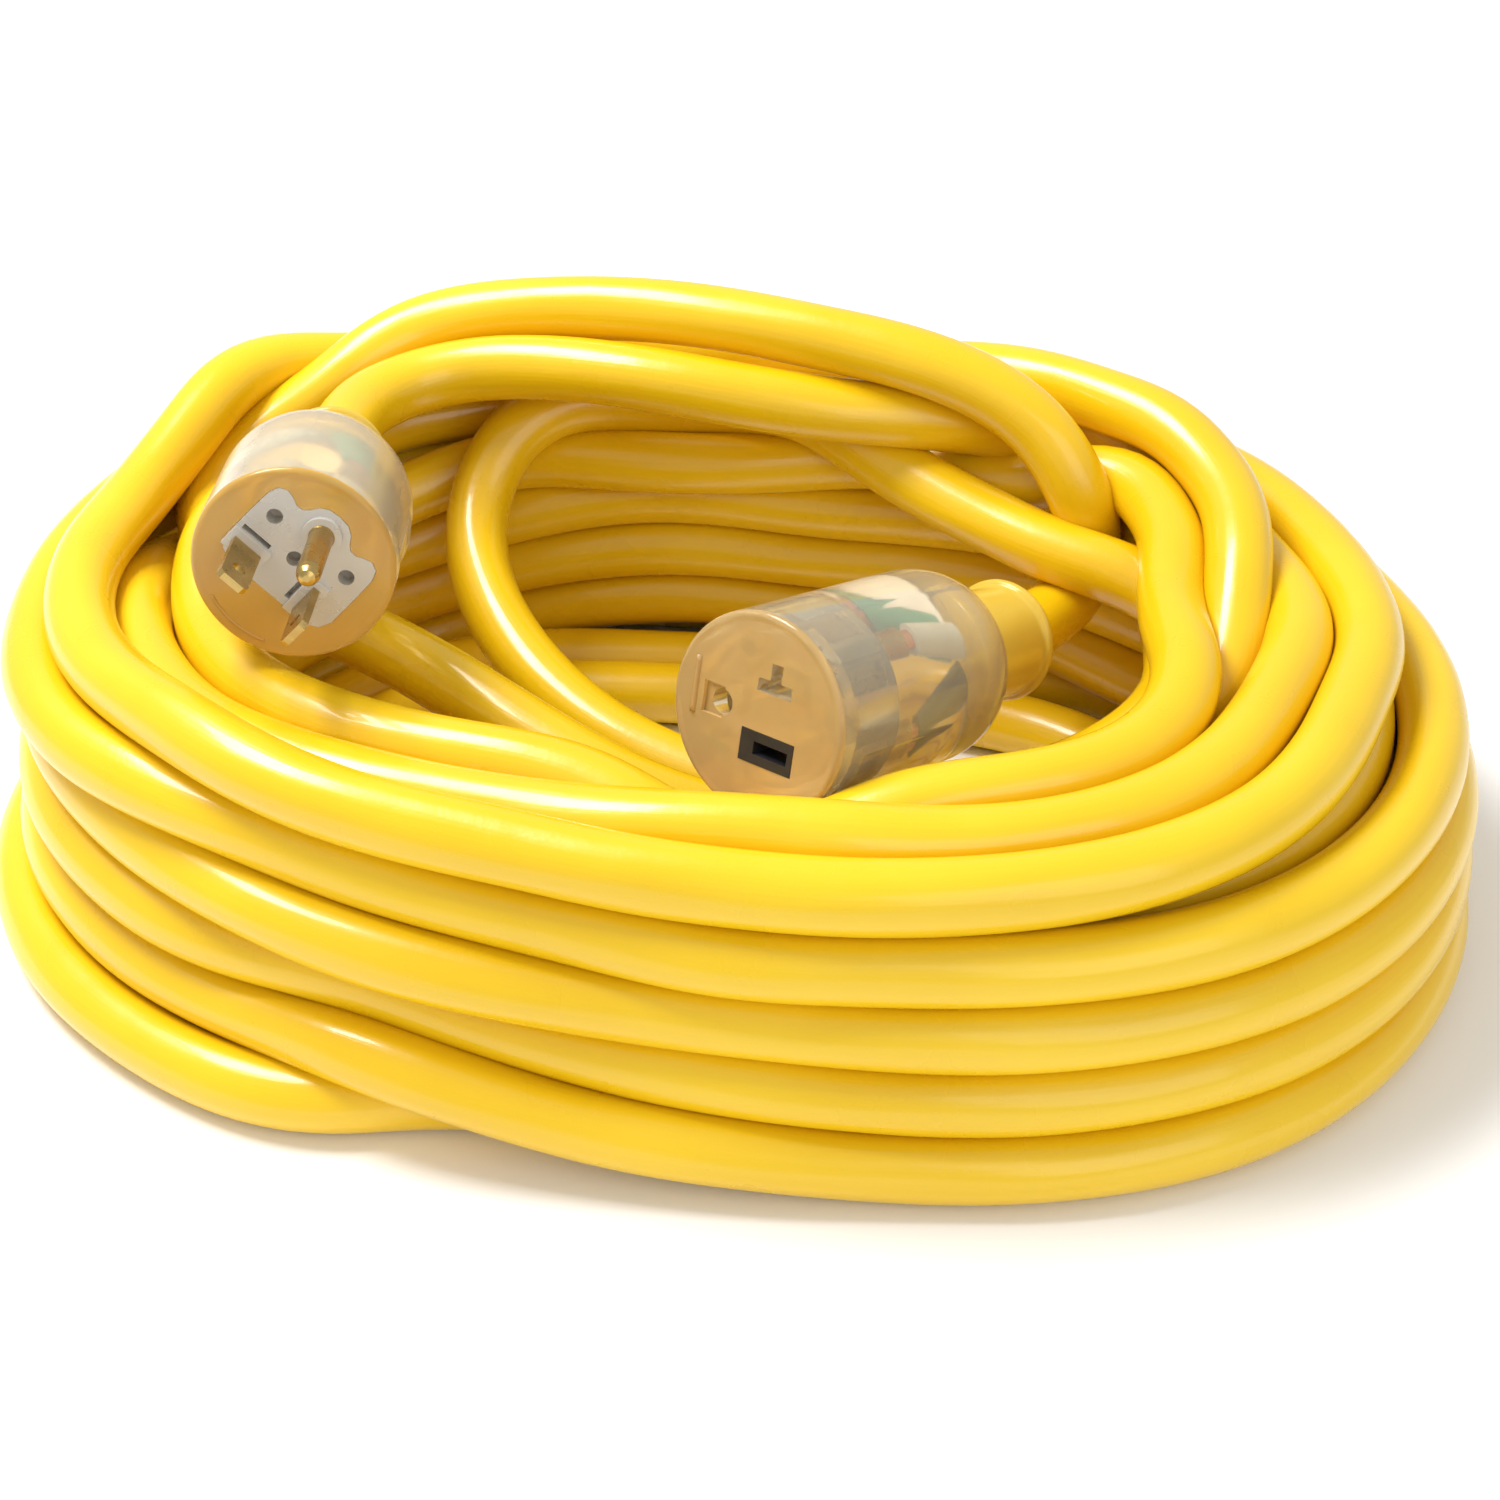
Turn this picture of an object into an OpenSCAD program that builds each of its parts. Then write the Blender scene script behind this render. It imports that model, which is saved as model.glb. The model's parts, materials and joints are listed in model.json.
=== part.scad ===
// Heavy-duty three-conductor power cord, coiled for storage, with a moulded
// 20 A plug on one end and a matching moulded connector on the other.
// Frame: origin under the middle of the coil, +X along the coil's long way, +Z up.

/* [Cord] */
// Outside diameter of the yellow jacket
cord_d = 14.5; // [14:0.1:15]
// Outside diameter of each insulated conductor
insulation_d = 4.8; // [4.2:0.1:5]
// Diameter of each bundle of copper strands
copper_d = 3; // [2.4:0.1:3.4]

/* [Coil] */
// Radius of the coil's round ends, to the middle of the outermost turn
end_r = 105; // [100:1:106]
// Half of the straight stretch between the two round ends
straight_half = 48; // [44:1:50]
// Height of the coil at its crown
coil_h = 87; // [84:1:90]
// Width of the wound band, across its base
band_w = 44; // [40:1:46]

/* [Plug] */
// Diameter of the plug body
plug_d = 39.5; // [39:0.1:41]
// Length of the plug body, from its face to the strain relief
plug_l = 42; // [40:1:44]
// Length of the plug's strain relief
plug_relief_l = 18; // [18:1:20]
// How far the flat blades stand out of the face
blade_l = 17.5; // [15.9:0.1:18.3]
// How far the ground pin stands out of the face
pin_l = 21; // [20:0.1:21.5]

/* [Connector] */
// Diameter of the connector body
socket_d = 40.5; // [40:0.1:42]
// Length of the connector body, from its face to the strain relief
socket_l = 64; // [62:1:66]
// Length of the connector's strain relief
socket_relief_l = 24; // [22:1:26]

/* [Hidden] */

$fn = 72;
cord_r = cord_d / 2;
eps = 0.01;

// Standard face layout, shared by the plug and the connector. In each end's own frame
// +X runs from neutral to hot on the plug, +Y towards ground and +Z out of the face.
blade_w = 6.35;
blade_t = 1.5;
blade_line_y = -3.3;
hot_x = 6.35;
neutral_x = 8.75;
ground_y = 8.6;
pin_d = 4.75;
shank_top = 1.6;
blade_hole_d = 2.8;
blade_hole_from_tip = 5.6;

// Where the two ends lie: middle of the face, lean of the face, heading and roll
plug_face = [-76, -48, 93];
plug_lean = 82;
plug_heading = 11;
plug_roll = -45;
socket_face = [16, -55, 74];
socket_lean = 74;
socket_heading = -29;
socket_roll = 93;

// Inside the plug
bridge_t = 9;
barrel_d = 4.4;
barrel_l = 10;
bare_l = 3;
plug_chamber_r = 14.5;
plug_chamber_z = -25;
core_pocket_l = 20;
plug_jacket_z = -37;
shoulder_l = 12;
relief_r = 12.5;

// Inside the connector
front_wall = 8;
contact_l = 16;
socket_chamber_r = 16;
socket_chamber_z = -48;
socket_jacket_z = -54;
ground_hole_d = 5.4;
carrier_t = 14;

// Clearance between each end and the cord that flexes behind it, and the cord's straight run there
flex_gap = 0.3;
neck_run = 8;

// Routes of the two loose ends of cord, as control points of a smooth curve
connector_route = [
  [67, 38, 46], [72, 49, 51], [74, 55, 62], [70, 57, 75], [60, 56, 86], [45, 55, 93],
  [26, 58, 97], [5, 61, 99], [-17, 64, 100], [-40, 66, 99], [-63, 68, 96], [-86, 67, 90],
  [-102, 57, 82], [-113, 48, 75], [-121, 38, 70], [-125, 25, 66], [-121, 11, 63],
  [-110, 0, 60], [-94, -7, 58], [-76, -11, 56], [-60, -19, 54], [-44, -28, 51],
  [-22, -37, 45], [3, -42, 39], [27, -40, 36], [48, -36, 39], [67, -32, 46], [85, -24, 53],
  [100, -12, 59], [109, 6, 64], [108, 25, 69], [101, 42, 74], [87, 60, 79], [65, 76, 82],
  [40, 85, 80]
];
plug_route = [
  [-90, 25, 84], [-91, 38, 84], [-85, 49, 85], [-71, 55, 87], [-51, 54, 89], [-28, 51, 90],
  [-6, 50, 88], [13, 53, 84], [30, 59, 79], [48, 67, 73], [65, 72, 66], [82, 69, 59],
  [95, 55, 53], [99, 36, 47], [95, 14, 42], [84, -2, 39], [68, -10, 33], [48, -14, 29],
  [26, -16, 28], [4, -16, 28], [-16, -11, 31], [-34, -3, 35], [-50, 10, 40], [-62, 27, 46],
  [-70, 44, 53], [-69, 58, 59], [-60, 66, 63], [-44, 70, 65], [-22, 72, 66], [5, 73, 66]
];
tube_sides = 10;

// ---------- frames of the two ends ----------

module in_plug() {
  translate(plug_face) rotate([plug_lean, 0, plug_heading]) rotate([0, 0, plug_roll]) children();
}

module in_socket() {
  translate(socket_face) rotate([socket_lean, 0, socket_heading]) rotate([0, 0, socket_roll])
    children();
}

function outward(lean, heading) =
  [sin(lean) * sin(heading), -sin(lean) * cos(heading), cos(lean)];
function cord_exit(face, lean, heading, length) = face - (length + flex_gap) * outward(lean, heading);

// ---------- cord ----------

function unit(v) = v / norm(v);
function ahead(p, i) = i < len(p) - 1 ? p[i + 1] : 2 * p[i] - p[i - 1];
function behind(p, i) = i > 0 ? p[i - 1] : 2 * p[0] - p[1];
function smooth_point(p, i) = (behind(p, i) + 4 * p[i] + ahead(p, i)) / 6;
function ring(p, i, r, sides) =
  let (
    along = unit(ahead(p, i) - behind(p, i)),
    side = unit(cross(along, [0, 0, 1])),
    up = cross(side, along)
  )
  [for (k = [0:sides - 1])
    smooth_point(p, i) + r * (cos(360 * k / sides) * side + sin(360 * k / sides) * up)];

// One closed tube, with a ring at every control point
module cord_tube(points, r, sides) {
  last = len(points) - 1;
  polyhedron(
    points = [for (i = [0:last]) each ring(points, i, r, sides)],
    faces = concat(
      [[for (k = [0:sides - 1]) k]],
      [[for (k = [sides - 1:-1:0]) last * sides + k]],
      [for (i = [0:last - 1], k = [0:sides - 1], half = [0, 1])
        let (
          a = i * sides + k,
          b = i * sides + (k + 1) % sides,
          c = a + sides,
          d = b + sides
        )
        half == 0 ? [a, c, b] : [b, c, d]]
    )
  );
}

// Outline of the wound band: x outwards from the outermost turn, y up
module band_outline() {
  inner = cord_r - band_w;
  polygon([
    [inner, 0], [cord_r, 0], [cord_r, 50], [-2, coil_h], [-22, coil_h], [inner, 65]
  ]);
}

module cord_coil() {
  color("gold") {
    for (turn = [0, 180])
      rotate([0, 0, turn]) {
        translate([straight_half, 0, 0]) rotate([0, 0, -90])
          rotate_extrude(angle = 180) translate([end_r, 0]) band_outline();
        translate([0, end_r, 0]) rotate([90, 0, 90])
          linear_extrude(2 * straight_half, center = true) band_outline();
      }
  }
}

module connector_tail() {
  l = socket_l + socket_relief_l;
  start = cord_exit(socket_face, socket_lean, socket_heading, l);
  next = cord_exit(socket_face, socket_lean, socket_heading, l + neck_run);
  color("gold") cord_tube(concat([start, next], connector_route), cord_r, tube_sides);
}

module plug_tail() {
  l = plug_l + plug_relief_l;
  start = cord_exit(plug_face, plug_lean, plug_heading, l);
  next = cord_exit(plug_face, plug_lean, plug_heading, l + neck_run);
  color("gold") cord_tube(concat([start, next], plug_route), cord_r, tube_sides);
}

// ---------- shared pieces ----------

// Straight round bar between two points
module bar(from, to, d) {
  v = to - from;
  translate(from) rotate([0, acos(v[2] / norm(v)), atan2(v[1], v[0])])
    cylinder(d = d, h = norm(v));
}

// Moulded body: round bar with an eased face edge and a rounded shoulder behind
module moulded_body(d, l) {
  ease = 0.8;
  r = d / 2;
  arc = [for (a = [0:10:90]) [
    relief_r + (r - relief_r) * cos(a), -(l - shoulder_l) - shoulder_l * sin(a)
  ]];
  rotate_extrude()
    polygon(concat([[0, -l], [0, 0], [r - ease, 0], [r, -ease]], arc));
}

// Strain relief sleeve: waisted, with a bead at the cord end
module relief_sleeve(l, waist_r, bead_r) {
  bead_l = 3;
  rotate_extrude()
    polygon([
      [cord_r, 0], [relief_r, 0], [waist_r, -l + bead_l + 1], [bead_r, -l + bead_l],
      [bead_r, -l + 0.6], [bead_r - 0.6, -l], [cord_r, -l]
    ]);
}

// Places of the three conductors where they leave the jacket, and of the three terminals
core_r = 2.9;
function core_at(side, z) = [side * core_r * 0.9, -core_r * 0.55, z];
function ground_core_at(z) = [0, core_r * 1.1, z];

// Half outline of the ground pin's thicker shank, eased down to the pin just above the collar
module pin_shank() {
  shank_r = 2.7;
  polygon([
    [0, -bridge_t], [shank_r, -bridge_t], [shank_r, 0.9], [pin_d / 2, shank_top], [0, shank_top]
  ]);
}

// Flat blade with a crimp barrel behind it; w runs along X
module blade(w) {
  chamfer = 0.9;
  difference() {
    rotate([90, 0, 0]) linear_extrude(blade_t, center = true)
      polygon([
        [-w / 2, -bridge_t], [w / 2, -bridge_t], [w / 2, blade_l - chamfer],
        [w / 2 - chamfer, blade_l], [chamfer - w / 2, blade_l], [-w / 2, blade_l - chamfer]
      ]);
    translate([0, 0, blade_l - blade_hole_from_tip]) rotate([90, 0, 0])
      cylinder(d = blade_hole_d, h = blade_t + 1, center = true);
  }
  translate([0, 0, -bridge_t - barrel_l]) cylinder(d = barrel_d, h = barrel_l + eps);
}

// ---------- plug ----------

// Lobed outline of the white bridge: its right half, from the foot up to the crown, then mirrored
bridge_half = [
  [0, -7.8], [9.6, -7.8], [12, -6.6], [13.2, -4], [13.2, 2], [13, 8], [12.2, 10.2],
  [10.6, 11], [9, 10.6], [7.4, 9.8], [6, 9.9], [5, 10.8], [4, 12.4], [2.4, 13.5], [0, 13.8]
];

module bridge_outline() {
  polygon(concat(
    bridge_half,
    [for (i = [len(bridge_half) - 2:-1:1]) [-bridge_half[i][0], bridge_half[i][1]]]
  ));
}

module plug_body() {
  color([1, 0.92, 0.7, 0.5]) in_plug() difference() {
    moulded_body(plug_d, plug_l);
    translate([0, 0, -bridge_t]) linear_extrude(bridge_t + 1) bridge_outline();
    translate([0, 0, plug_jacket_z]) cylinder(r = plug_chamber_r - 2, h = core_pocket_l);
    translate([0, 0, plug_chamber_z])
      cylinder(r = plug_chamber_r, h = -plug_chamber_z - bridge_t + eps);
    translate([0, 0, -plug_l - 1]) cylinder(d = cord_d, h = plug_l + plug_jacket_z + 2);
  }
}

module plug_bridge() {
  collar_h = 1.2;
  slit_w = 1.1;
  color("whitesmoke") in_plug() difference() {
    union() {
      translate([0, 0, -bridge_t]) linear_extrude(bridge_t) bridge_outline();
      translate([-neutral_x, blade_line_y, 0]) linear_extrude(collar_h)
        square([8.8, 4.6], center = true);
      translate([hot_x, blade_line_y, 0]) linear_extrude(collar_h)
        square([4.6, 8.8], center = true);
      translate([0, ground_y, 0]) cylinder(r = 3.9, h = collar_h);
    }
    translate([-neutral_x, blade_line_y, 0])
      cube([blade_w, blade_t, 3 * bridge_t], center = true);
    translate([hot_x, blade_line_y, 0])
      cube([blade_t, blade_w, 3 * bridge_t], center = true);
    translate([0, ground_y, 0]) rotate_extrude() pin_shank();
    translate([-neutral_x, blade_line_y + 2.9, 0]) cube([6.6, slit_w, 6], center = true);
    translate([hot_x - 2.9, blade_line_y, 0]) cube([slit_w, 5.6, 6], center = true);
    for (at = [[-9, 5.2], [9, 5.2], [-0.6, 1.2]])
      translate([at[0], at[1], -4]) cylinder(r = 1.6, h = 6);
  }
}

module plug_strain_relief() {
  color([1, 0.85, 0.45, 0.7]) in_plug() translate([0, 0, -plug_l])
    relief_sleeve(plug_relief_l, 10.6, 11.4);
}

module plug_jacket_end() {
  color("gold") in_plug() translate([0, 0, -plug_l - plug_relief_l])
    cylinder(d = cord_d, h = plug_l + plug_relief_l + plug_jacket_z);
}

module blade_neutral() {
  color("darkgoldenrod") in_plug() translate([-neutral_x, blade_line_y, 0]) blade(blade_w);
}

module blade_hot() {
  color("darkgoldenrod") in_plug() translate([hot_x, blade_line_y, 0]) rotate([0, 0, 90])
    blade(blade_w);
}

module ground_pin() {
  r = pin_d / 2;
  nose = 3;
  color("goldenrod") in_plug() translate([0, ground_y, 0]) {
    rotate_extrude() {
      pin_shank();
      polygon([
        [0, 0], [r, 0], [r, pin_l - nose], [r * 0.9, pin_l - nose * 0.5],
        [r * 0.65, pin_l - nose * 0.15], [r * 0.3, pin_l], [0, pin_l]
      ]);
    }
    translate([0, 0, -bridge_t - barrel_l]) cylinder(d = barrel_d, h = barrel_l + eps);
  }
}

plug_barrel_z = -bridge_t - barrel_l;

module plug_copper(at) {
  color("peru") in_plug() bar([at[0], at[1], plug_barrel_z - bare_l], [at[0], at[1], plug_barrel_z],
    copper_d);
}

module plug_insulation(at, core, tint) {
  color(tint) in_plug() bar(core, [at[0], at[1], plug_barrel_z - bare_l], insulation_d);
}

module plug_copper_neutral() { plug_copper([-neutral_x, blade_line_y]); }
module plug_copper_hot() { plug_copper([hot_x, blade_line_y]); }
module plug_copper_ground() { plug_copper([0, ground_y]); }

module plug_insulation_neutral() {
  plug_insulation([-neutral_x, blade_line_y], core_at(-1, plug_jacket_z), "white");
}
module plug_insulation_hot() {
  plug_insulation([hot_x, blade_line_y], core_at(1, plug_jacket_z), "dimgray");
}
module plug_insulation_ground() {
  plug_insulation([0, ground_y], ground_core_at(plug_jacket_z), "seagreen");
}

// ---------- connector ----------

slot_w = 2.6;
slot_l = 8;
liner_w = 6.5;
liner_l = 12.5;
contact_w = 6;
contact_len = 9.6;

module hot_slot_outline() { square([slot_w, slot_l], center = true); }

// T-shaped slot: takes an upright blade or one turned a quarter
module neutral_slot_outline() {
  square([slot_w, slot_l], center = true);
  translate([2.4, 0]) square([4.8, slot_w], center = true);
}

module connector_body() {
  color([1, 0.92, 0.7, 0.5]) in_socket() difference() {
    moulded_body(socket_d, socket_l);
    translate([-hot_x, blade_line_y, -front_wall - 1]) linear_extrude(front_wall + 2)
      square([liner_w, liner_l], center = true);
    translate([hot_x, blade_line_y, -front_wall - 1]) linear_extrude(front_wall + 2)
      neutral_slot_outline();
    translate([0, ground_y, -front_wall - 1]) cylinder(d = ground_hole_d, h = front_wall + 2);
    translate([0, ground_y + 2, 0]) cube([6.4, 5, 2], center = true);
    translate([0, 0, socket_chamber_z])
      cylinder(r = socket_chamber_r, h = -socket_chamber_z - front_wall);
    translate([0, 0, socket_jacket_z]) cylinder(r = socket_chamber_r - 3, h = core_pocket_l);
    translate([0, 0, -socket_l - 1]) cylinder(d = cord_d, h = socket_l + socket_jacket_z + 2);
  }
}

module contact_carrier() {
  color([0.95, 0.95, 0.92, 0.8]) in_socket() translate([0, 0, -front_wall - carrier_t])
    difference() {
      cylinder(r = socket_chamber_r - 0.8, h = carrier_t);
      for (side = [-1, 1])
        translate([side * hot_x, blade_line_y, carrier_t / 2])
          cube([contact_w, contact_len, carrier_t + 2], center = true);
      translate([0, ground_y, -1]) cylinder(d = 7.2, h = carrier_t + 2);
      translate([lamp_at[0], lamp_at[1], -1]) cylinder(d = lamp_d + 0.2, h = carrier_t + 2);
      translate([resistor_at[0], resistor_at[1], -1]) cylinder(d = 3.4, h = carrier_t + 2);
    }
}

module hot_slot_liner() {
  color("dimgray") in_socket() translate([-hot_x, blade_line_y, -front_wall]) difference() {
    linear_extrude(front_wall) square([liner_w, liner_l], center = true);
    translate([0, -1, -1]) linear_extrude(front_wall + 2) hot_slot_outline();
  }
}

module connector_strain_relief() {
  color([1, 0.85, 0.45, 0.7]) in_socket() translate([0, 0, -socket_l])
    relief_sleeve(socket_relief_l, 12, 12.8);
}

module connector_jacket_end() {
  color("gold") in_socket() translate([0, 0, -socket_l - socket_relief_l])
    cylinder(d = cord_d, h = socket_l + socket_relief_l + socket_jacket_z);
}

// Folded brass contact, open at the front, with a crimp barrel behind
module blade_contact() {
  gap_w = 2.2;
  translate([0, 0, -front_wall - contact_l]) {
    difference() {
      translate([-contact_w / 2 + 0.2, -contact_len / 2 + 0.2, 0])
        cube([contact_w - 0.4, contact_len - 0.4, contact_l - 0.2]);
      translate([-gap_w / 2, -contact_len, 2]) cube([gap_w, 2 * contact_len, contact_l]);
    }
    translate([0, 0, -barrel_l]) cylinder(d = barrel_d, h = barrel_l + eps);
  }
}

module contact_hot() {
  color("darkgoldenrod") in_socket() translate([-hot_x, blade_line_y, 0]) blade_contact();
}

module contact_neutral() {
  color("darkgoldenrod") in_socket() translate([hot_x, blade_line_y, 0]) blade_contact();
}

module contact_ground() {
  sleeve_d = 6.8;
  color("darkgoldenrod") in_socket() translate([0, ground_y, -front_wall - contact_l]) {
    difference() {
      cylinder(d = sleeve_d, h = contact_l - 0.2);
      translate([0, 0, 2]) cylinder(d = pin_d + 0.1, h = contact_l);
      translate([-0.4, 0, 2]) cube([0.8, sleeve_d, contact_l]);
    }
    translate([0, 0, -barrel_l]) cylinder(d = barrel_d, h = barrel_l + eps);
  }
}

socket_barrel_z = -front_wall - contact_l - barrel_l;

module connector_copper(at) {
  color("peru") in_socket() bar([at[0], at[1], socket_barrel_z - bare_l],
    [at[0], at[1], socket_barrel_z], copper_d);
}

module connector_insulation(at, core, tint) {
  color(tint) in_socket() bar(core, [at[0], at[1], socket_barrel_z - bare_l], insulation_d);
}

module connector_copper_neutral() { connector_copper([hot_x, blade_line_y]); }
module connector_copper_hot() { connector_copper([-hot_x, blade_line_y]); }
module connector_copper_ground() { connector_copper([0, ground_y]); }

module connector_insulation_neutral() {
  connector_insulation([hot_x, blade_line_y], core_at(1, socket_jacket_z), "white");
}
module connector_insulation_hot() {
  connector_insulation([-hot_x, blade_line_y], core_at(-1, socket_jacket_z), "dimgray");
}
module connector_insulation_ground() {
  connector_insulation([0, ground_y], ground_core_at(socket_jacket_z), "seagreen");
}

// Neon lamp, its ballast resistor and the leads to the hot and neutral barrels
lamp_d = 5;
lamp_l = 11;
lamp_at = [-9.5, 8.6, -25];
resistor_at = [10.5, 7.2, -25];

module indicator_lamp() {
  color([1, 0.7, 0.4, 0.7]) in_socket() translate(lamp_at) {
    cylinder(d = lamp_d, h = lamp_l);
    translate([0, 0, lamp_l]) sphere(d = lamp_d);
  }
}

module lamp_resistor() {
  color("tan") in_socket() translate(resistor_at) cylinder(d = 2.6, h = 7);
}

// Leads of the lamp: one to the hot barrel, one round to the resistor, with a solder bead at each bend
module lead(points) {
  lead_d = 0.7;
  bead_d = 1.1;
  for (i = [1:len(points) - 1]) bar(points[i - 1], points[i], lead_d);
  for (i = [1:len(points) - 2]) translate(points[i]) sphere(d = bead_d);
}

module lamp_leads() {
  foot = [1, 0, 0];
  color("silver") in_socket() {
    lead([
      lamp_at - foot, lamp_at - foot - [0, 0, 5], [-hot_x - 1, blade_line_y + 2, lamp_at[2] - 5]
    ]);
    lead([
      lamp_at + foot, lamp_at + foot - [0, 0, 2], [0, 13.5, lamp_at[2] - 2],
      resistor_at - [0, 0, 2], resistor_at
    ]);
  }
}

cord_coil();
plug_tail();
connector_tail();
plug_body();
plug_bridge();
plug_strain_relief();
plug_jacket_end();
blade_neutral();
blade_hot();
ground_pin();
plug_insulation_neutral();
plug_insulation_hot();
plug_insulation_ground();
plug_copper_neutral();
plug_copper_hot();
plug_copper_ground();
connector_body();
contact_carrier();
hot_slot_liner();
connector_strain_relief();
connector_jacket_end();
contact_neutral();
contact_hot();
contact_ground();
connector_insulation_neutral();
connector_insulation_hot();
connector_insulation_ground();
connector_copper_neutral();
connector_copper_hot();
connector_copper_ground();
indicator_lamp();
lamp_resistor();
lamp_leads();
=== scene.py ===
import json
import math

import bpy
import numpy as np
from mathutils import Matrix, Vector


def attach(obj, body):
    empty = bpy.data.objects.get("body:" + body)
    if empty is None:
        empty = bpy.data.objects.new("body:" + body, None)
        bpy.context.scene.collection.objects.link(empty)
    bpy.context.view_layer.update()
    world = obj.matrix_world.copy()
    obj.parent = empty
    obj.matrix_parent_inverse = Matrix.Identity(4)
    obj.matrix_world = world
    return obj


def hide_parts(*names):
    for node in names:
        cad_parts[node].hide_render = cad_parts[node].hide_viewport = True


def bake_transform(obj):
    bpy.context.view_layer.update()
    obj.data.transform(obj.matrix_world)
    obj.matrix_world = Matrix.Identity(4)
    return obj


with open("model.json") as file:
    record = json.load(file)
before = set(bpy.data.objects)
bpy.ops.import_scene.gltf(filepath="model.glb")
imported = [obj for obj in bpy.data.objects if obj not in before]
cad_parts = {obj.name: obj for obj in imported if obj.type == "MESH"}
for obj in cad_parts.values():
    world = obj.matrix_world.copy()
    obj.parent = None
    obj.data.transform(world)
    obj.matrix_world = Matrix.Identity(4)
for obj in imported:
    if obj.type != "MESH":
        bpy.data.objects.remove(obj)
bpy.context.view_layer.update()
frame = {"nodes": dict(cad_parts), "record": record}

# Sizes are in millimetres and are turned into metres where a mesh is made.
MM = 0.001
CORD_D = 14.5
CORD_R = CORD_D / 2

# The two ends: middle of the face, lean, heading and roll in degrees, body and strain relief lengths
PLUG = {
    "face": (-76, -48, 93), "lean": 82, "heading": 11, "roll": -45,
    "d": 39.5, "body": 42, "relief": 18,
}
SOCKET = {
    "face": (16, -55, 74), "lean": 74, "heading": -29, "roll": 93,
    "d": 40.5, "body": 64, "relief": 24,
}
FLEX_GAP = 0.3
NECK_RUN = 8
BLADE_LINE_Y = -3.3
HOT_X = 6.35
GROUND_Y = 8.6

# Right half of the plug's lobed white bridge, from its foot up to its crown
BRIDGE_HALF = [
    (0, -7.8), (9.6, -7.8), (12, -6.6), (13.2, -4), (13.2, 2), (13, 8), (12.2, 10.2),
    (10.6, 11), (9, 10.6), (7.4, 9.8), (6, 9.9), (5, 10.8), (4, 12.4), (2.4, 13.5), (0, 13.8),
]

# Routes of the two loose ends of cord, as control points of a smooth curve
CONNECTOR_ROUTE = [
    (67, 38, 46), (72, 49, 51), (74, 55, 62), (70, 57, 75), (60, 56, 86), (45, 55, 93),
    (26, 58, 97), (5, 61, 99), (-17, 64, 100), (-40, 66, 99), (-63, 68, 96), (-86, 67, 90),
    (-102, 57, 82), (-113, 48, 75), (-121, 38, 70), (-125, 25, 66), (-121, 11, 63),
    (-110, 0, 60), (-94, -7, 58), (-76, -11, 56), (-60, -19, 54), (-44, -28, 51),
    (-22, -37, 45), (3, -42, 39), (27, -40, 36), (48, -36, 39), (67, -32, 46), (85, -24, 53),
    (100, -12, 59), (109, 6, 64), (108, 25, 69), (101, 42, 74), (87, 60, 79), (65, 76, 82),
    (40, 85, 80),
]
PLUG_ROUTE = [
    (-90, 25, 84), (-91, 38, 84), (-85, 49, 85), (-71, 55, 87), (-51, 54, 89), (-28, 51, 90),
    (-6, 50, 88), (13, 53, 84), (30, 59, 79), (48, 67, 73), (65, 72, 66), (82, 69, 59),
    (95, 55, 53), (99, 36, 47), (95, 14, 42), (84, -2, 39), (68, -10, 33), (48, -14, 29),
    (26, -16, 28), (4, -16, 28), (-16, -11, 31), (-34, -3, 35), (-50, 10, 40), (-62, 27, 46),
    (-70, 44, 53), (-69, 58, 59), (-60, 66, 63), (-44, 70, 65), (-22, 72, 66), (5, 73, 66),
]

# The wound coil
END_R = 105
STRAIGHT_HALF = 48
TURN_PITCH = 14.9
ROW_PITCH = 14.5
TURNS = (5, 5, 5, 2)
COIL_START = 85
LOOSE_TURN_OUT = 0.4

# Settling: how hard the cord holds its planned line, its sink in a round, and the number of rounds
HOLD = 0.03
SINK = 0.05
ROUNDS = 260
ROUTE_STEP = 7.0
CONTACT_LOOK = 4
BODY_CLEARANCE = 0.4

# How much larger the bridge's pocket is than the bridge
POCKET_GROWTH = 1.008

# Depth of the tan front of each moulded body
FACE_DEPTH = 1.2

# Camera: where it stands, how it is turned and its lens
CAMERA_AT = (0.0890, -0.4553, 0.351)
CAMERA_TILT = 55.0
CAMERA_HEADING = 10.5
CAMERA_LENS = 62.4


# ---------- camera ----------

def make_camera():
    data = bpy.data.cameras.new("camera")
    data.lens = CAMERA_LENS
    data.sensor_width = 36.0
    data.clip_start = 0.01
    camera = bpy.data.objects.new("camera", data)
    camera.location = CAMERA_AT
    camera.rotation_euler = (math.radians(CAMERA_TILT), 0.0, math.radians(CAMERA_HEADING))
    bpy.context.scene.collection.objects.link(camera)
    bpy.context.scene.camera = camera


make_camera()


# ---------- frames of the two ends ----------

def end_matrix(end):
    """Frame of a plug or connector, in millimetres: +Z out of the face, +Y towards ground."""
    return (
        Matrix.Translation(end["face"])
        @ Matrix.Rotation(math.radians(end["heading"]), 4, "Z")
        @ Matrix.Rotation(math.radians(end["lean"]), 4, "X")
        @ Matrix.Rotation(math.radians(end["roll"]), 4, "Z")
    )


PLUG_M = end_matrix(PLUG)
SOCKET_M = end_matrix(SOCKET)


def end_length(end):
    return end["body"] + end["relief"]


def cord_exit(end, matrix, run=0.0):
    """The point a straight run behind where the cord leaves the end's strain relief."""
    return np.array(matrix @ Vector((0, 0, -end_length(end) - FLEX_GAP - run)))


def neck_points(end, matrix):
    """The first two points of the cord behind an end."""
    return [tuple(cord_exit(end, matrix)), tuple(cord_exit(end, matrix, NECK_RUN))]


# ---------- cord route ----------

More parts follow.
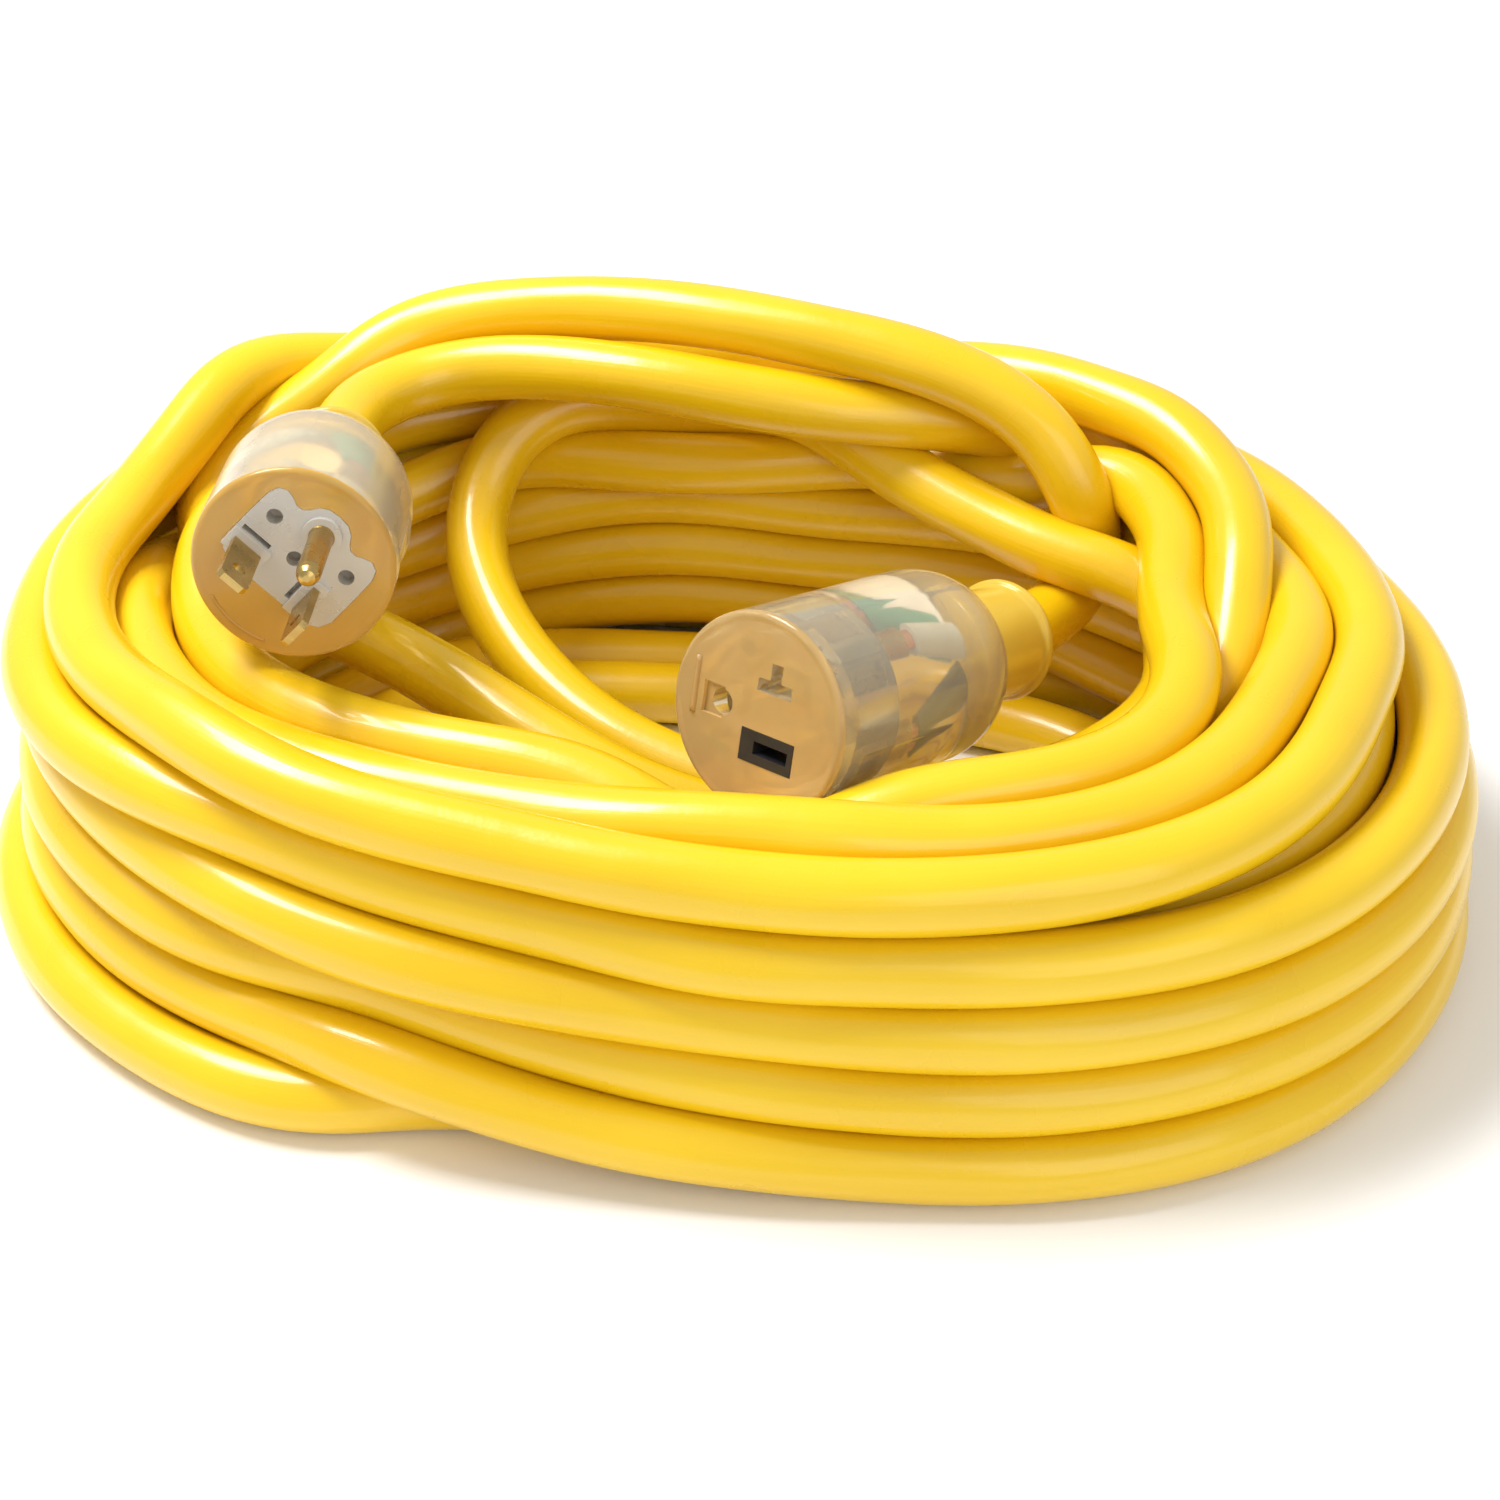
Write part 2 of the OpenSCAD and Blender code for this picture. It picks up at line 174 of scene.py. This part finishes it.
def smooth_curve(controls, per_span):
    """Uniform cubic B-spline that starts and ends at its first and last control points."""
    p = np.array(controls, float)
    p = np.vstack([2 * p[0] - p[1], p, 2 * p[-1] - p[-2]])
    out = []
    for i in range(len(p) - 3):
        for t in np.linspace(0, 1, per_span, endpoint=False):
            weights = (
                (1 - t) ** 3, 3 * t ** 3 - 6 * t ** 2 + 4, -3 * t ** 3 + 3 * t ** 2 + 3 * t + 1, t ** 3
            )
            out.append(np.array(weights) / 6 @ p[i:i + 4])
    out.append(p[-2])
    return np.array(out)


def evenly(points, step):
    """The same line with its points a fixed step apart."""
    run = np.r_[0, np.cumsum(np.linalg.norm(np.diff(points, axis=0), axis=1))]
    at = np.linspace(0, run[-1], int(round(run[-1] / step)) + 1)
    return np.stack([np.interp(at, run, points[:, k]) for k in range(3)], 1)


def ease(t):
    t = min(1.0, max(0.0, t))
    return t * t * (3 - 2 * t)


def coil_steps():
    """Where the cord changes column or row: (start, end, columns, rows), angles in degrees of winding."""
    outer, second, third, loose = TURNS
    steps = [(COIL_START + 35, COIL_START + 150, -1, -1)]
    steps += [(370 * n + 575, 370 * n + 635, 0, -1) for n in range(outer - 1)]
    at = 360 * outer
    steps.append((at + 160, at + 215, -LOOSE_TURN_OUT, 0))
    steps.append((at + 240, at + 285, 1 + LOOSE_TURN_OUT, 0))
    steps += [(at + 360 * n + 525, at + 360 * n + 560, 0, 1) for n in range(second - 1)]
    at += 360 * second
    steps.append((at + 128, at + 165, 1, 0))
    steps += [(at + 360 * n + 458, at + 360 * n + 495, 0, -1) for n in range(third - 1)]
    at += 360 * third
    steps.append((at + 62, at + 105, 1.4, 0))
    at += 360 * loose - 60
    steps.append((at - 40, at + 140, -1.2, 4.0))
    return steps, at + 150


def coil_point(angle, column, row):
    """Middle of the cord at one angle of winding, in a given column and row of the coil."""
    a = math.radians(angle)
    front, back = max(0, -math.sin(a)) ** 2, max(0, math.sin(a)) ** 2
    right, left = max(0, math.cos(a)) ** 2, max(0, -math.cos(a)) ** 2

    def lean(insets):
        return float(np.interp(row, range(6), insets))

    inset = (
        lean([0, 3, 5, 7, 9, 14]) * front + lean([0, 1, 2, 3, 4, 5]) * back
        + lean([0, 1, 2, 6, 24, 42]) * right + lean([2, 4, 6, 8, 11, 14]) * left
    )
    r = END_R - column * TURN_PITCH - inset
    across = STRAIGHT_HALF * math.tanh(2.2 * math.cos(a)) / math.tanh(2.2)
    return r * math.cos(a) + across, r * math.sin(a), CORD_R + ROW_PITCH * row


def coil_route():
    steps, end = coil_steps()
    points = []
    for angle in np.arange(COIL_START, end, 6.0):
        column, row = 1.0, 5.0
        for start, stop, columns, rows in steps:
            share = ease((angle - start) / (stop - start))
            column += columns * share
            row += rows * share
        points.append(coil_point(angle, column, row))
    return np.array(points)


def push_off_end(p, end, matrix, depth, first, last):
    """Keeps cord points first to last clear of a plug or connector body."""
    face, out = np.array(end["face"], float), np.array(matrix.to_3x3() @ Vector((0, 0, 1)))
    v = p - face
    along = np.clip(-(v @ out), 0, depth)
    away = v + np.outer(along, out)
    gap = np.linalg.norm(away, axis=1)
    need = end["d"] / 2 + CORD_R + BODY_CLEARANCE
    near = gap < need
    near[:first] = False
    near[last:] = False
    p[near] += away[near] / gap[near, None] * (need - gap[near])[:, None]


def settle(start, rounds):
    """Lets the cord settle on itself: turns push each other a diameter apart and rest on the floor."""
    p = start.copy()
    n = len(p)
    step = np.linalg.norm(np.diff(p, axis=0), axis=1).mean()
    apart = int(math.ceil(2.6 * CORD_D / step))
    free = np.ones((n, 1))
    free[:3] = 0
    free[-3:] = 0
    for k in range(rounds):
        if k % 5 == 0:
            sq = (p ** 2).sum(1)
            near = sq[:, None] + sq[None] - 2 * p @ p.T < (CORD_D + CONTACT_LOOK) ** 2
            one, two = np.where(np.triu(near, apart))
        p[:, 2] -= SINK * free[:, 0]
        p += HOLD * (start - p)
        bend = np.zeros_like(p)
        bend[2:-2] = (-p[:-4] + 4 * p[1:-3] - 6 * p[2:-2] + 4 * p[3:-1] - p[4:]) / 16
        p += bend * free
        for _ in range(2):
            v = p[two] - p[one]
            dist = np.linalg.norm(v, axis=1) + 1e-9
            hit = dist < CORD_D
            move = v[hit] / dist[hit, None] * ((CORD_D - dist[hit]) / 2)[:, None]
            push, count = np.zeros_like(p), np.zeros(n)
            np.add.at(push, one[hit], -move)
            np.add.at(push, two[hit], move)
            np.add.at(count, one[hit], 1)
            np.add.at(count, two[hit], 1)
            p += push / np.maximum(count, 1)[:, None] * free
        p[:, 2] = np.maximum(p[:, 2], CORD_R)
        push_off_end(p, PLUG, PLUG_M, 36, 0, n - 6)
        push_off_end(p, SOCKET, SOCKET_M, 58, 6, n)
        p[:3], p[-3:] = start[:3], start[-3:]
        for _ in range(2):
            v = np.diff(p, axis=0)
            size = np.linalg.norm(v, axis=1)
            fix = v * ((size - step) / size / 4)[:, None]
            p[:-1] += fix * free[:-1]
            p[1:] -= fix * free[1:]
    return p


def cord_path():
    """The whole cord, from the connector's strain relief through the coil to the plug's, in millimetres."""
    head = smooth_curve(neck_points(SOCKET, SOCKET_M) + CONNECTOR_ROUTE, 8)
    tail = smooth_curve(neck_points(PLUG, PLUG_M) + PLUG_ROUTE, 8)[::-1]
    p = evenly(np.vstack([head, coil_route(), tail]), ROUTE_STEP)
    p = settle(p, ROUNDS)
    return evenly(smooth_curve(p[::2], 4), ROUTE_STEP / 2)


# ---------- meshes ----------

def new_object(name, verts, faces, smooth=True):
    """A mesh object from points in millimetres."""
    mesh = bpy.data.meshes.new(name)
    mesh.from_pydata([tuple(float(c) * MM for c in v) for v in verts], [], faces)
    mesh.update()
    if smooth:
        mesh.shade_smooth()
    piece = bpy.data.objects.new(name, mesh)
    bpy.context.scene.collection.objects.link(piece)
    return piece


def path_frames(p):
    """Side and up at each point of a line, with no twist from one to the next."""
    along = np.gradient(p, axis=0)
    along /= np.linalg.norm(along, axis=1)[:, None]
    side = np.cross(along[0], (0, 0, 1.0))
    if np.linalg.norm(side) < 0.1:
        side = np.cross(along[0], (0, 1.0, 0))
    sides = []
    for t in along:
        side = side - t * (side @ t)
        side = side / np.linalg.norm(side)
        sides.append(side)
    sides = np.array(sides)
    return sides, np.cross(sides, along)


def tube(name, p, radius, sides):
    """A round capped tube along p. radius is a number, or a function of (run in mm, angle) to an array."""
    side, up = path_frames(p)
    run = np.r_[0, np.cumsum(np.linalg.norm(np.diff(p, axis=0), axis=1))]
    angle = np.arange(sides) * 2 * math.pi / sides
    if callable(radius):
        r = radius(run[:, None], angle[None])
    else:
        r = np.full((len(p), sides), float(radius))
    ring = np.cos(angle)[None, :, None] * side[:, None] + np.sin(angle)[None, :, None] * up[:, None]
    verts = (p[:, None] + ring * r[:, :, None]).reshape(-1, 3)
    n = len(p)
    faces, coords = [], []
    for i in range(n - 1):
        a, b = i * sides, (i + 1) * sides
        u0, u1 = run[i] * MM, run[i + 1] * MM
        for k in range(sides):
            j = (k + 1) % sides
            v0, v1 = k / sides, (k + 1) / sides
            faces.append((a + k, b + k, b + j, a + j))
            coords += [u0, v0, u1, v0, u1, v1, u0, v1]
    faces.append(tuple(range(sides)))
    faces.append(tuple(range(n * sides - 1, (n - 1) * sides - 1, -1)))
    coords += [0.0, 0.0] * (2 * sides)
    piece = new_object(name, verts, faces)
    uv = piece.data.uv_layers.new(name="along")
    uv.data.foreach_set("uv", coords)
    return piece


# ---------- cord ----------

def jacket_radius(run, angle):
    """The jacket shows the lay of the three twisted conductors under it, very faintly."""
    lay = 0.10 * np.cos(3 * angle - 2 * math.pi * run / 58.0)
    slow = 0.06 * np.sin(run / 37.0 + 1.3 * np.sin(run / 113.0)) * np.cos(2 * angle + run / 400.0)
    return CORD_R - 0.1 + lay + slow


route = cord_path()
cord = tube("cord", route, jacket_radius, 24)


# ---------- materials ----------

def shader(name):
    """A new material, its node tree and its Principled node."""
    material = bpy.data.materials.new(name)
    material.use_nodes = True
    tree = material.node_tree
    return material, tree, tree.nodes["Principled BSDF"]


def node(tree, kind, **settings):
    made = tree.nodes.new(kind)
    for key, value in settings.items():
        if key in made.inputs:
            made.inputs[key].default_value = value
        else:
            setattr(made, key, value)
    return made


def ramp(tree, stops):
    made = tree.nodes.new("ShaderNodeValToRGB")
    while len(made.color_ramp.elements) < len(stops):
        made.color_ramp.elements.new(0.5)
    for element, (place, colour) in zip(made.color_ramp.elements, stops):
        element.position = place
        element.color = (*colour, 1.0)
    return made


def grey(v):
    return (v, v, v)


def noise(tree, coords, scale, detail=4.0, roughness=0.5, stretch=(1, 1, 1)):
    mapping = node(tree, "ShaderNodeMapping")
    mapping.inputs["Scale"].default_value = stretch
    tree.links.new(coords, mapping.inputs["Vector"])
    made = node(tree, "ShaderNodeTexNoise", Scale=scale, Detail=detail, Roughness=roughness)
    tree.links.new(mapping.outputs["Vector"], made.inputs["Vector"])
    return made.outputs["Fac"]


def finish_material(tree, p, colour, rough, bumps, distance):
    """Wires a colour ramp, a roughness ramp and a list of (height, strength) bumps into the shader."""
    tree.links.new(colour.outputs["Color"], p.inputs["Base Color"])
    tree.links.new(rough.outputs["Color"], p.inputs["Roughness"])
    normal = None
    for height, strength in bumps:
        bump = node(tree, "ShaderNodeBump", Strength=strength, Distance=distance)
        tree.links.new(height, bump.inputs["Height"])
        if normal is not None:
            tree.links.new(normal, bump.inputs["Normal"])
        normal = bump.outputs["Normal"]
    tree.links.new(normal, p.inputs["Normal"])


def plain_material(name, low, high, rough, metallic=0.0, scale=60.0, bump=0.15):
    """A moulded or stamped surface: slight mottling in colour and roughness, with a fine grain."""
    material, tree, p = shader(name)
    coords = node(tree, "ShaderNodeTexCoord").outputs["Object"]
    p.inputs["Metallic"].default_value = metallic
    broad = noise(tree, coords, scale)
    colour = ramp(tree, [(0.3, low), (0.7, high)])
    tree.links.new(broad, colour.inputs["Fac"])
    roughs = ramp(tree, [(0.3, grey(rough[0])), (0.7, grey(rough[1]))])
    tree.links.new(noise(tree, coords, scale * 7), roughs.inputs["Fac"])
    finish_material(tree, p, colour, roughs, [(noise(tree, coords, scale * 20), bump)], 0.0001)
    return material


def jacket_material():
    """Glossy yellow vinyl: a soft sheen, faint streaks from the extruder and a deeper tone in patches."""
    material, tree, p = shader("jacket")
    uv = node(tree, "ShaderNodeUVMap", uv_map="along").outputs["UV"]
    where = node(tree, "ShaderNodeTexCoord").outputs["Object"]
    tones = [(0.25, (0.78, 0.48, 0.003)), (0.55, (0.84, 0.54, 0.005)), (0.8, (0.89, 0.60, 0.01))]
    colour = ramp(tree, tones)
    tree.links.new(noise(tree, where, 14.0, 5.0), colour.inputs["Fac"])
    rough = ramp(tree, [(0.3, grey(0.24)), (0.75, grey(0.38))])
    tree.links.new(noise(tree, where, 55.0, 4.0), rough.inputs["Fac"])
    streaks = noise(tree, uv, 30.0, 3.0, 0.5, (1.0, 1.6, 1.0))
    grain = noise(tree, where, 900.0, 2.0)
    lumps = noise(tree, where, 70.0, 2.0)
    finish_material(tree, p, colour, rough, [(streaks, 0.10), (lumps, 0.40), (grain, 0.05)], 0.0006)
    p.inputs["Specular IOR Level"].default_value = 0.5
    p.inputs["Coat Weight"].default_value = 0.3
    p.inputs["Coat Roughness"].default_value = 0.1
    return material


def clear_material(name, low, high, clearness, rough):
    """Flexible see-through vinyl: slightly tinted, a little milky, with a soft moulded surface."""
    material, tree, p = shader(name)
    coords = node(tree, "ShaderNodeTexCoord").outputs["Object"]
    p.inputs["Transmission Weight"].default_value = clearness
    p.inputs["IOR"].default_value = 1.42
    colour = ramp(tree, [(0.3, low), (0.7, high)])
    tree.links.new(noise(tree, coords, 40.0), colour.inputs["Fac"])
    roughs = ramp(tree, [(0.35, grey(rough[0])), (0.7, grey(rough[1]))])
    tree.links.new(noise(tree, coords, 120.0), roughs.inputs["Fac"])
    heights = [(noise(tree, coords, 90.0, 2.0), 0.12), (noise(tree, coords, 700.0), 0.05)]
    finish_material(tree, p, colour, roughs, heights, 0.0003)
    return material


def metal_material(name, low, high, rough):
    return plain_material(name, low, high, rough, metallic=1.0, scale=90.0, bump=0.25)


JACKET = jacket_material()
CLEAR = clear_material("clear_moulding", (0.93, 0.84, 0.62), (0.97, 0.90, 0.72), 0.78, (0.07, 0.14))
TAN = clear_material("tan_face", (0.74, 0.49, 0.19), (0.83, 0.58, 0.26), 0.50, (0.12, 0.22))
AMBER = clear_material("amber_moulding", (0.86, 0.58, 0.06), (0.92, 0.66, 0.10), 0.30, (0.14, 0.24))
MILKY = clear_material("milky_moulding", (0.95, 0.82, 0.55), (0.98, 0.88, 0.66), 0.62, (0.14, 0.24))
HONEY = clear_material("honey_face", (0.74, 0.43, 0.09), (0.82, 0.51, 0.13), 0.42, (0.14, 0.24))
WHITE = clear_material("white_bridge", (0.68, 0.64, 0.57), (0.79, 0.76, 0.70), 0.25, (0.24, 0.36))
CARRIER = clear_material("carrier", (0.90, 0.84, 0.66), (0.94, 0.90, 0.76), 0.90, (0.10, 0.18))
BLACK = plain_material("black_liner", (0.012, 0.012, 0.016), (0.03, 0.03, 0.036), (0.35, 0.5))
BRASS = metal_material("brass", (0.42, 0.28, 0.08), (0.62, 0.44, 0.16), (0.24, 0.40))
COPPER = metal_material("copper", (0.62, 0.28, 0.14), (0.82, 0.42, 0.24), (0.28, 0.42))
GREEN = plain_material("green_insulation", (0.07, 0.30, 0.18), (0.11, 0.40, 0.25), (0.35, 0.5))
PALE = plain_material("white_insulation", (0.66, 0.66, 0.60), (0.78, 0.78, 0.72), (0.35, 0.5))
DARK = plain_material("black_insulation", (0.05, 0.05, 0.05), (0.09, 0.09, 0.085), (0.35, 0.5))
LAMP = plain_material("lamp_glass", (0.80, 0.55, 0.28), (0.9, 0.66, 0.38), (0.12, 0.2))
RESISTOR = plain_material("resistor", (0.52, 0.40, 0.22), (0.64, 0.50, 0.30), (0.4, 0.55))
LEAD = plain_material("lead_wire", (0.62, 0.62, 0.62), (0.75, 0.75, 0.75), (0.2, 0.3), metallic=1.0)

SLOT_MATERIAL = {
    "jacket": JACKET, "clear_moulding": CLEAR, "amber_moulding": AMBER, "white_bridge": WHITE,
    "carrier": CARRIER, "black_liner": BLACK, "brass": BRASS, "copper": COPPER,
    "green_insulation": GREEN, "white_insulation": PALE, "black_insulation": DARK,
    "lamp_glass": LAMP, "resistor": RESISTOR, "lead_wire": LEAD,
}


def paint(piece, material):
    piece.data.materials.clear()
    piece.data.materials.append(material)


for part in frame["record"]["subparts"]:
    paint(frame["nodes"][part["node"]], SLOT_MATERIAL[part["material_slot"]])


# ---------- moulded bodies ----------

def lathe(name, profile, sides, matrix, radius=None):
    """A closed turned piece: profile is (radius, z) from the front axis to the rear axis."""
    angle = np.arange(sides) * 2 * math.pi / sides
    rings = [p for p in profile if p[0] > 0]
    verts = []
    for r, z in rings:
        rr = r + (radius(z, angle) if radius else 0.0) * np.ones(sides)
        verts += [(rr[k] * math.cos(angle[k]), rr[k] * math.sin(angle[k]), z) for k in range(sides)]
    faces = []
    for i in range(len(rings) - 1):
        for k in range(sides):
            j = (k + 1) % sides
            faces.append((i * sides + k, (i + 1) * sides + k, (i + 1) * sides + j, i * sides + j))
    faces.append(tuple(range(sides)))
    last = (len(rings) - 1) * sides
    faces.append(tuple(range(last + sides - 1, last - 1, -1)))
    placed = [tuple(matrix @ Vector(v)) for v in verts]
    return new_object(name, placed, faces)


def arc(r0, z0, radius, start, stop, count):
    """Points of a quarter turn or so in a profile, angles in degrees."""
    out = []
    for a in np.linspace(math.radians(start), math.radians(stop), count):
        out.append((r0 + radius * math.cos(a), z0 + radius * math.sin(a)))
    return out


def body_profile(end, dish):
    """Outline of a moulded body: dished face with a rim, eased edge, plain side, rounded shoulder."""
    r, shoulder, neck = end["d"] / 2, 12.0, 12.6
    rows = [(2.0, -dish), (r * 0.5, -dish), (r - 2.2, -dish), (r - 1.7, -0.1), (r - 1.2, 0.0)]
    rows += arc(r - 1.0, -1.0, 1.0, 90, 0, 6)
    rows += [(r, z) for z in np.arange(-1.8, -(end["body"] - shoulder), -0.9)]
    for a in np.linspace(0, math.pi / 2, 12):
        rows.append((neck + (r - neck) * math.cos(a), -(end["body"] - shoulder) - shoulder * math.sin(a)))
    return rows + [(neck - 0.2, -end["body"] - 0.4)]


def panel(at, spread, front, back, depth):
    """A sunk label field with a raised frame, on the side of a body, and its two mould seams."""
    def radius(z, angle):
        turn = np.abs((angle - at + math.pi) % (2 * math.pi) - math.pi)
        edge = max(front - z, z - back, 0.0) if not back < z < front else 0.0
        inside = min(front - z, z - back)
        across = (spread - turn) * 20.0
        level = np.minimum(across, inside)
        frame_rise = 0.30 * np.exp(-((level - 0.9) / 0.55) ** 2) * (inside > -1.5)
        sink = -depth / (1 + np.exp(-(level - 2.2) * 4.0))
        seam_turn = np.abs((angle - at - 1.9 + math.pi / 2) % math.pi - math.pi / 2)
        seam = 0.14 * np.exp(-(seam_turn / 0.02) ** 2)
        return np.where(edge > 1.5, 0.0, frame_rise + sink) + seam
    return radius


def box_cutter(centre, size):
    half = [s / 2 for s in size]
    signs = (-1, 1)
    corners = [(a * half[0], b * half[1], c * half[2]) for a in signs for b in signs for c in signs]
    verts = [tuple(Vector(centre) + Vector(c)) for c in corners]
    faces = [(0, 1, 3, 2), (4, 6, 7, 5), (0, 4, 5, 1), (2, 3, 7, 6), (0, 2, 6, 4), (1, 5, 7, 3)]
    return verts, faces


def prism_cutter(outline, middle, depth):
    """A cutter with an outline in the face's plane, its middle at a height along the end's axis."""
    n = len(outline)
    verts = [(x, y, middle + side * depth / 2) for side in (1, -1) for x, y in outline]
    faces = [(k, n + k, n + (k + 1) % n, (k + 1) % n) for k in range(n)]
    faces += [tuple(range(n)), tuple(range(2 * n - 1, n - 1, -1))]
    return verts, faces


def round_cutter(centre, radius, depth, sides=48):
    turns = [2 * math.pi * k / sides for k in range(sides)]
    outline = [(centre[0] + radius * math.cos(a), centre[1] + radius * math.sin(a)) for a in turns]
    return prism_cutter(outline, centre[2], depth)


def cut(piece, matrix, cutters):
    """Takes each cutter, given in the end's own frame, out of the piece."""
    for verts, faces in cutters:
        tool = new_object("cutter", [tuple(matrix @ Vector(v)) for v in verts], faces, smooth=False)
        modifier = piece.modifiers.new("cut", "BOOLEAN")
        modifier.operation = "DIFFERENCE"
        modifier.solver = "EXACT"
        modifier.object = tool
        graph = bpy.context.evaluated_depsgraph_get()
        mesh = bpy.data.meshes.new_from_object(piece.evaluated_get(graph))
        piece.modifiers.clear()
        old = piece.data
        piece.data = mesh
        bpy.data.meshes.remove(old)
        bpy.data.objects.remove(tool)
    piece.data.set_sharp_from_angle(angle=math.radians(35))


def split_face(piece, matrix, side, front, depth):
    """Gives the front of a body the tan look that its thickness has when seen through the face."""
    piece.data.materials.clear()
    piece.data.materials.append(side)
    piece.data.materials.append(front)
    inverse = matrix.inverted()
    for face in piece.data.polygons:
        z = (inverse @ (Vector(face.center) / MM)).z
        face.material_index = 1 if z > -depth else 0


def make_plug_body():
    label = panel(0.35, 0.5, -5.0, -26.0, 0.3)
    body = lathe("plug_moulding", body_profile(PLUG, 0.12), 180, PLUG_M, label)
    mirrored = [(-x, y) for x, y in BRIDGE_HALF[-2:0:-1]]
    outline = [(x * POCKET_GROWTH, y * POCKET_GROWTH) for x, y in BRIDGE_HALF + mirrored]
    cutters = [prism_cutter(outline, -4.5, 9.1)]
    cut(body, PLUG_M, cutters)
    split_face(body, PLUG_M, MILKY, HONEY, FACE_DEPTH)
    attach(body, "plug")
    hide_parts("plug_body")
    return body


def make_connector_body():
    label = panel(-2.2, 0.55, -6.0, -40.0, 0.3)
    body = lathe("connector_moulding", body_profile(SOCKET, 0.12), 180, SOCKET_M, label)
    slot = -10.0
    cutters = [
        box_cutter((-HOT_X, BLADE_LINE_Y, -4.0), (6.6, 12.6, 8.2)),
        box_cutter((HOT_X, BLADE_LINE_Y, slot), (2.6, 8.0, 20.4)),
        box_cutter((HOT_X + 2.4, BLADE_LINE_Y, -4.0), (4.8, 2.6, 8.4)),
        round_cutter((0, GROUND_Y, slot), 2.7, 20.4),
        box_cutter((0, GROUND_Y + 2, 0), (6.4, 5.0, 2.0)),
    ]
    cut(body, SOCKET_M, cutters)
    split_face(body, SOCKET_M, CLEAR, TAN, FACE_DEPTH)
    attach(body, "connector")
    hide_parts("connector_body")
    return body


def relief_profile(end, waist, bead):
    """Outline of a strain relief: eased waist, then a rolled bead where the cord comes out."""
    front, back = -end["body"] + 0.6, -end["body"] - end["relief"]
    rows = [(CORD_R + 0.02, front), (12.4, front)]
    for s in np.linspace(0.05, 1, 14):
        z = front + (back + 4.6 - front) * s
        rows.append((12.5 + (waist - 12.5) * math.sin(s * math.pi / 2), z))
    rows += arc(waist, back + 2.4, bead - waist + 0.4, 80, -80, 10)
    rows += [(waist - 0.8, back + 0.2), (CORD_R + 0.9, back - 0.5), (CORD_R + 0.02, back - 1.2)]
    return rows


def make_neck(name, end, matrix, waist, bead, cad_nodes):
    """Strain relief and the straight end of cord inside it, both on the end's axis."""
    rows = relief_profile(end, waist, bead)
    relief = lathe(name + "_strain_relief_skin", rows, 96, matrix)
    back = -end_length(end)
    core_front = -end["body"] + 5.0
    line = np.array([matrix @ Vector((0, 0, z)) for z in np.arange(core_front, back - 3.5, -1.0)])
    core = tube(name + "_cord_end", line, CORD_R - 0.12, 32)
    for piece, material, slot_name in ((relief, AMBER, "amber_moulding"), (core, JACKET, "jacket")):
        paint(piece, material)
        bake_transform(piece)
    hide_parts(cad_nodes[0])
    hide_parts(cad_nodes[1])
    return relief, core


def make_ridge(name, line, radius, matrix, body, material):
    """A raised line moulded on a face, sunk to about its middle."""
    ridge = tube(name, np.array([matrix @ Vector(q) for q in line]), radius, 16)
    paint(ridge, material)
    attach(ridge, body)
    return ridge


plug_moulding = make_plug_body()
connector_moulding = make_connector_body()
crescent_r = 17.4
crescent = [
    (crescent_r * math.cos(a), crescent_r * math.sin(a), -0.15)
    for a in np.radians(np.linspace(246, 292, 24))
]
plug_ridge = make_ridge("plug_face_ridge", crescent, 0.35, PLUG_M, "plug", HONEY)
key_line = [(x, 15.2, -0.35) for x in np.linspace(-4, 7.5, 12)]
make_ridge("connector_face_ridge", key_line, 0.7, SOCKET_M, "connector", TAN)
plug_neck = make_neck("plug", PLUG, PLUG_M, 10.6, 11.4, ("plug_strain_relief", "plug_jacket_end"))
make_neck(
    "connector", SOCKET, SOCKET_M, 12.0, 12.8,
    ("connector_strain_relief", "connector_jacket_end"),
)


# ---------- the cord takes the jacket and the coil body, the CAD cord is hidden, the plug's pieces are listed ---

paint(cord, JACKET)
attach(cord, "coil")
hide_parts("cord_coil", "plug_tail", "connector_tail")
replaced = ("plug_body", "plug_strain_relief", "plug_jacket_end")
plug_nodes = frame["record"]["behaviour"]["bodies"]["plug"]
plug_pieces = [frame["nodes"][n] for n in plug_nodes if n not in replaced]
plug_pieces += [plug_moulding, plug_ridge, *plug_neck]


# ---------- floor and lights ----------

def make_floor():
    size = 6.0
    mesh = bpy.data.meshes.new("floor")
    corners = [(-size, -size, 0), (size, -size, 0), (size, size, 0), (-size, size, 0)]
    mesh.from_pydata(corners, [], [(0, 1, 2, 3)])
    floor = bpy.data.objects.new("floor", mesh)
    bpy.context.scene.collection.objects.link(floor)
    material, _, p = shader("floor")
    p.inputs["Base Color"].default_value = (0.93, 0.93, 0.93, 1.0)
    p.inputs["Roughness"].default_value = 0.85
    p.inputs["Specular IOR Level"].default_value = 0.2
    mesh.materials.append(material)


def area_light(name, place, size, power):
    data = bpy.data.lights.new(name, "AREA")
    data.shape = "RECTANGLE"
    data.size, data.size_y = size
    data.energy = power
    lamp = bpy.data.objects.new(name, data)
    lamp.location = place
    aim = Vector((0, 0, 0.04)) - Vector(place)
    lamp.rotation_euler = aim.to_track_quat("-Z", "Y").to_euler()
    bpy.context.scene.collection.objects.link(lamp)


def make_world():
    bpy.context.scene.view_settings.view_transform = "Standard"
    world = bpy.data.worlds.new("studio")
    world.use_nodes = True
    world.node_tree.nodes["Background"].inputs["Color"].default_value = (1.0, 1.0, 1.0, 1.0)
    world.node_tree.nodes["Background"].inputs["Strength"].default_value = 0.62
    bpy.context.scene.world = world


make_floor()
make_world()
area_light("key", (-0.45, 0.05, 0.95), (0.5, 0.35), 12.0)
area_light("fill", (0.7, -0.8, 0.6), (0.8, 0.8), 3.0)
